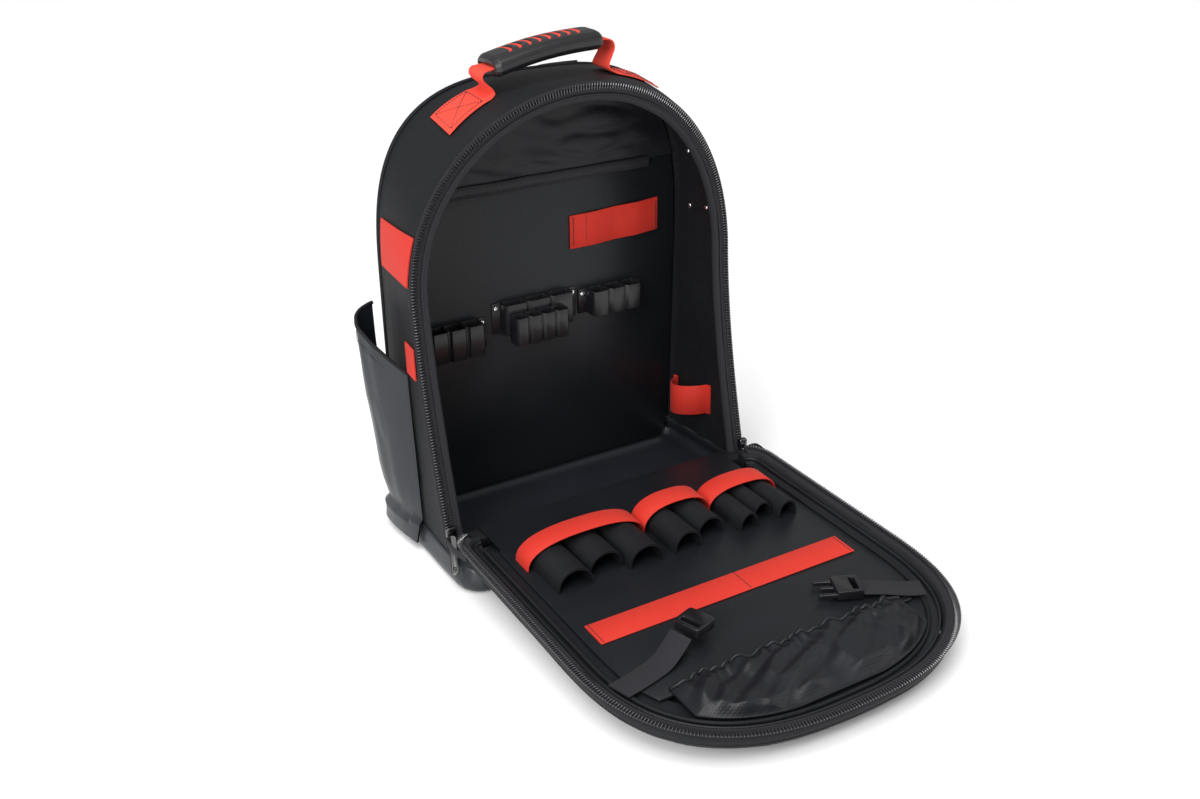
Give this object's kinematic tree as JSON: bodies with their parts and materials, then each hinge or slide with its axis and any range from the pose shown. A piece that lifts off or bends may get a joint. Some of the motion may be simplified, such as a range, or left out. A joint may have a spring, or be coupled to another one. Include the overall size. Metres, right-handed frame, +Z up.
{
  "type": "tool backpack",
  "caption": "Arched tool backpack standing on its base with its zipped front door laid open, showing elastic bands, sleeves and tool holders.",
  "frame": {"origin": "middle of the whole part's foot, with the door laid open", "axes": "+Z up, -Y the way the opening faces and the door lies, +X to the viewer's right"},
  "size_m": [0.4104, 0.6166, 0.5035],
  "materials": {
    "woven": "black woven polyester, matt",
    "coated": "black coated cloth over board, satin",
    "nylon": "thin black nylon, slight sheen",
    "webbing_red": "bright red ribbed webbing",
    "webbing_black": "black ribbed webbing",
    "plastic": "black moulded plastic, satin",
    "metal": "bright plated steel"
  },
  "bodies": {
    "root": {"arched_band": "webbing_red", "back_pad": "woven", "back_panel": "woven", "base_boot": "coated", "board_elastic": "webbing_red", "board_strap_left": "webbing_black", "board_strap_right": "webbing_black", "buckle_plug": "plastic", "buckle_socket": "plastic", "door_board": "coated", "door_ledge": "woven", "door_outer_pocket": "woven", "door_panel": "woven", "door_rim": "woven", "door_zip_tape": "webbing_black", "flat_tape": "webbing_red", "front_lip": "woven", "gathered_pocket": "nylon", "handle_grip": "plastic", "handle_webbing": "webbing_red", "hinge_flap": "woven", "holder_left": "plastic", "holder_middle": "plastic", "holder_right": "plastic", "holder_small": "plastic", "lining_hem": "webbing_black", "lower_webbing_left": "webbing_black", "lower_webbing_right": "webbing_black", "rivet_left_a": "metal", "rivet_left_b": "metal", "rivet_middle_a": "metal", "rivet_middle_b": "metal", "rivet_right_a": "metal", "rivet_right_b": "metal", "shell_binding": "woven", "shell_gusset": "woven", "shell_zip_tape": "webbing_black", "shoulder_strap_left": "woven", "shoulder_strap_right": "woven", "side_band_lower": "webbing_red", "side_band_upper": "webbing_red", "side_loop": "webbing_red", "side_pocket": "woven", "sleeve_1": "woven", "sleeve_2": "woven", "sleeve_3": "woven", "sleeve_4": "woven", "sleeve_5": "woven", "sleeve_6": "woven", "sleeve_7": "woven", "sleeve_8": "woven", "tool_board": "coated", "top_lining": "nylon", "wall_band_left": "webbing_red", "wall_band_right": "webbing_red", "yoke": "woven", "zip_pull_left": "plastic", "zip_pull_right": "plastic", "zip_slider_left": "plastic", "zip_slider_right": "plastic"}
  },
  "joints": []
}
